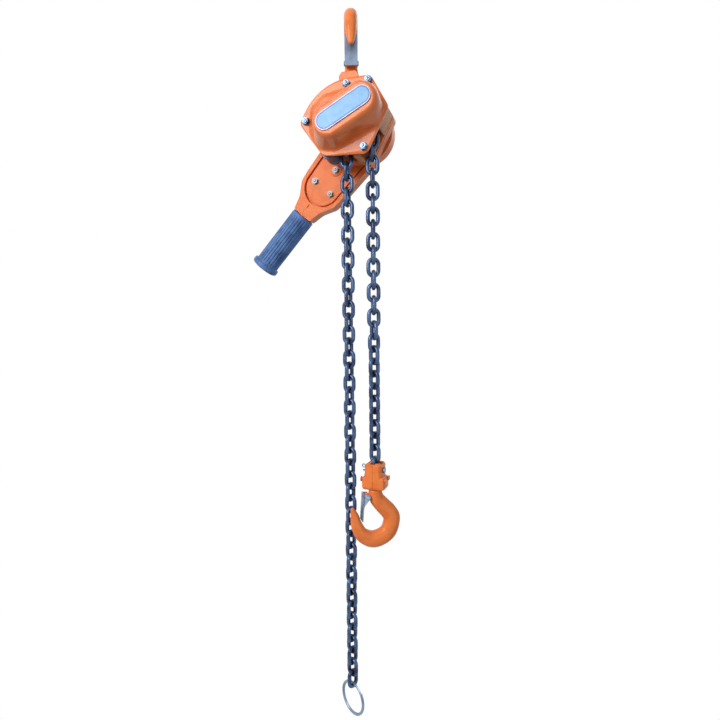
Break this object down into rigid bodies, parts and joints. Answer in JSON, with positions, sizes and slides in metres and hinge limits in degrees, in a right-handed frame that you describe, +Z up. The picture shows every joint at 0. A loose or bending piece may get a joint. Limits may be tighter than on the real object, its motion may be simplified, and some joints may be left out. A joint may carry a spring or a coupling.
{
  "type": "lever chain hoist",
  "caption": "Hand-operated lever chain hoist with a top hook, geared body, ratchet lever, load chain with latched hook, and a slack chain with an end ring.",
  "frame": {"origin": "saddle of the top hook, where the support bears", "axes": "+Z up along the hanging hoist; the load sheave turns about an axis along Y; the gear cover faces -Y and the lever is on the +Y side"},
  "size_m": [0.2431, 0.1475, 1.0329],
  "materials": {
    "orange_paint": "gloss orange paint",
    "zinc_steel": "zinc plated",
    "chain_steel": "dark alloy steel",
    "machined_steel": "machined",
    "dark_rubber": "matt",
    "friction_lining": "pressed friction lining",
    "plate_blue": "printed plate, left plain"
  },
  "bodies": {
    "support": {"top_hook": "orange_paint"},
    "top_latch": {"top_latch": "zinc_steel"},
    "top_yoke": {"top_yoke_front": "orange_paint", "top_yoke_back": "orange_paint"},
    "frame": {"top_pin": "zinc_steel", "cover_nut_top": "zinc_steel", "gear_cover": "orange_paint", "name_plate": "plate_blue", "gear_side_plate": "orange_paint", "brake_side_plate": "orange_paint", "stay_bolt_right": "zinc_steel", "stay_bolt_left": "zinc_steel", "cover_stud_bottom": "zinc_steel", "cover_nut_right": "zinc_steel", "cover_nut_left": "zinc_steel", "cover_nut_bottom": "zinc_steel", "chain_stripper": "chain_steel", "stripper_pin": "zinc_steel", "guide_roller_pin": "zinc_steel", "side_guard": "orange_paint", "sheave_bearing_gear_side": "machined_steel", "sheave_bearing_brake_side": "machined_steel", "brake_cover": "orange_paint", "chain_over_sheave": "chain_steel"},
    "roller": {"guide_roller": "chain_steel"},
    "sheave": {"load_sheave": "machined_steel", "load_gear": "machined_steel"},
    "cluster_right": {"gear_cluster_right": "machined_steel"},
    "cluster_left": {"gear_cluster_left": "machined_steel"},
    "drive": {"drive_shaft": "machined_steel", "disc_hub": "machined_steel", "change_gear": "machined_steel", "shaft_nut": "zinc_steel"},
    "ratchet": {"ratchet_disc": "machined_steel", "friction_disc_inner": "friction_lining", "friction_disc_outer": "friction_lining"},
    "pawl_left": {"brake_pawl_left": "machined_steel"},
    "pawl_right": {"brake_pawl_right": "machined_steel"},
    "lever": {"lever_inner_case": "orange_paint", "lever_outer_case": "orange_paint", "lever_grip": "dark_rubber", "lever_bolt_right": "zinc_steel", "lever_bolt_left": "zinc_steel", "lever_bolt_head": "zinc_steel"},
    "selector": {"selector_pawl": "machined_steel", "selector_knob": "machined_steel"},
    "wheel": {"hand_wheel": "orange_paint"},
    "load_upper": {"load_chain_upper": "chain_steel"},
    "load_lower": {"load_chain_lower": "chain_steel"},
    "hook_yoke": {"hook_yoke_left": "orange_paint", "hook_yoke_right": "orange_paint", "chain_pin": "zinc_steel", "cotter_pin": "zinc_steel", "yoke_bolt_front": "orange_paint", "yoke_bolt_back": "orange_paint"},
    "load_hook": {"load_hook": "orange_paint"},
    "load_latch": {"load_latch": "zinc_steel"},
    "slack_upper": {"slack_chain_upper": "chain_steel"},
    "slack_lower": {"slack_chain_lower": "chain_steel"},
    "end_ring": {"end_ring": "zinc_steel"}
  },
  "joints": [
    {"name": "top_latch_open", "type": "hinge", "parent": "support", "child": "top_latch", "pos_m": [0.00354, -0.01251, -0.0525], "axis": [-0.9622, -0.2723, 0], "range_deg": [0, 25], "stiffness_Nm_per_rad": 0.05, "springref_deg": -20.05},
    {"name": "top_swivel", "type": "hinge", "parent": "support", "child": "top_yoke", "pos_m": [0, 0, -0.0628], "axis": [0, 0, 1], "continuous": true},
    {"name": "frame_swing", "type": "hinge", "parent": "top_yoke", "child": "frame", "pos_m": [0, 0, -0.0845], "axis": [0, 1, 0], "range_deg": [-15, 15]},
    {"name": "sheave_turn", "type": "hinge", "parent": "frame", "child": "sheave", "pos_m": [0.0065, 0, -0.1305], "axis": [0, 1, 0], "continuous": true, "deforming": ["chain_over_sheave"]},
    {"name": "cluster_right_turn", "type": "hinge", "parent": "frame", "child": "cluster_right", "pos_m": [0.02637, 0, -0.11994], "axis": [0, 1, 0], "continuous": true},
    {"name": "cluster_left_turn", "type": "hinge", "parent": "frame", "child": "cluster_left", "pos_m": [-0.01337, 0, -0.14106], "axis": [0, 1, 0], "continuous": true},
    {"name": "drive_turn", "type": "hinge", "parent": "frame", "child": "drive", "pos_m": [0.0065, 0, -0.1305], "axis": [0, 1, 0], "continuous": true},
    {"name": "hand_wheel_pull", "type": "slide", "parent": "drive", "child": "wheel", "axis": [0, 1, 0], "range_m": [0, 0.004]},
    {"name": "ratchet_turn", "type": "hinge", "parent": "frame", "child": "ratchet", "pos_m": [0.0065, 0, -0.1305], "axis": [0, 1, 0], "continuous": true},
    {"name": "pawl_left_lift", "type": "hinge", "parent": "frame", "child": "pawl_left", "pos_m": [-0.0336, 0, -0.13902], "axis": [0, -1, 0], "range_deg": [0, 6], "stiffness_Nm_per_rad": 0.02, "springref_deg": -17.19},
    {"name": "pawl_right_lift", "type": "hinge", "parent": "frame", "child": "pawl_right", "pos_m": [0.0466, 0, -0.12198], "axis": [0, -1, 0], "range_deg": [0, 6], "stiffness_Nm_per_rad": 0.02, "springref_deg": -17.19},
    {"name": "lever_turn", "type": "hinge", "parent": "frame", "child": "lever", "pos_m": [0.0065, 0, -0.1305], "axis": [0, 1, 0], "continuous": true},
    {"name": "selector_turn", "type": "hinge", "parent": "lever", "child": "selector", "pos_m": [-0.01816, 0, -0.15808], "axis": [0, 1, 0], "range_deg": [-20, 20]},
    {"name": "guide_roller_turn", "type": "hinge", "parent": "frame", "child": "roller", "pos_m": [-0.031, 0, -0.169], "axis": [0, 1, 0], "continuous": true},
    {"name": "load_chain_upper_swing", "type": "hinge", "parent": "frame", "child": "load_upper", "pos_m": [0.02977, 0, -0.1811], "axis": [-1, 0, 0], "range_deg": [0, 20]},
    {"name": "load_chain_lower_swing", "type": "hinge", "parent": "load_upper", "child": "load_lower", "pos_m": [0.02977, 0, -0.3971], "axis": [0, -1, 0], "range_deg": [0, 20]},
    {"name": "hook_yoke_swing", "type": "hinge", "parent": "load_lower", "child": "hook_yoke", "pos_m": [0.02977, 0, -0.62811], "axis": [-0.9962, 0.0872, 0], "range_deg": [0, 3]},
    {"name": "load_hook_swivel", "type": "hinge", "parent": "hook_yoke", "child": "load_hook", "pos_m": [0.02977, 0, -0.71961], "axis": [0, 0, 1], "range_deg": [0, 105]},
    {"name": "load_latch_open", "type": "hinge", "parent": "load_hook", "child": "load_latch", "pos_m": [0.01819, -0.0059, -0.6671], "axis": [0.454, -0.891, 0], "range_deg": [0, 25], "stiffness_Nm_per_rad": 0.05, "springref_deg": -20.05},
    {"name": "slack_chain_upper_swing", "type": "hinge", "parent": "frame", "child": "slack_upper", "pos_m": [-0.008, 0, -0.18713], "axis": [0, 1, 0], "range_deg": [0, 10]},
    {"name": "slack_chain_lower_swing", "type": "hinge", "parent": "slack_upper", "child": "slack_lower", "pos_m": [-0.008, 0, -0.76313], "axis": [1, 0, 0], "range_deg": [-20, 20]},
    {"name": "end_ring_swing", "type": "hinge", "parent": "slack_lower", "child": "end_ring", "pos_m": [-0.008, 0, -0.95903], "axis": [0.5878, 0.809, 0], "range_deg": [-12, 12]}
  ],
  "couplings": [
    {"joint": "cluster_right_turn", "follows": "sheave_turn", "ratio": -3},
    {"joint": "cluster_left_turn", "follows": "sheave_turn", "ratio": -3},
    {"joint": "drive_turn", "follows": "sheave_turn", "ratio": 10.5}
  ]
}
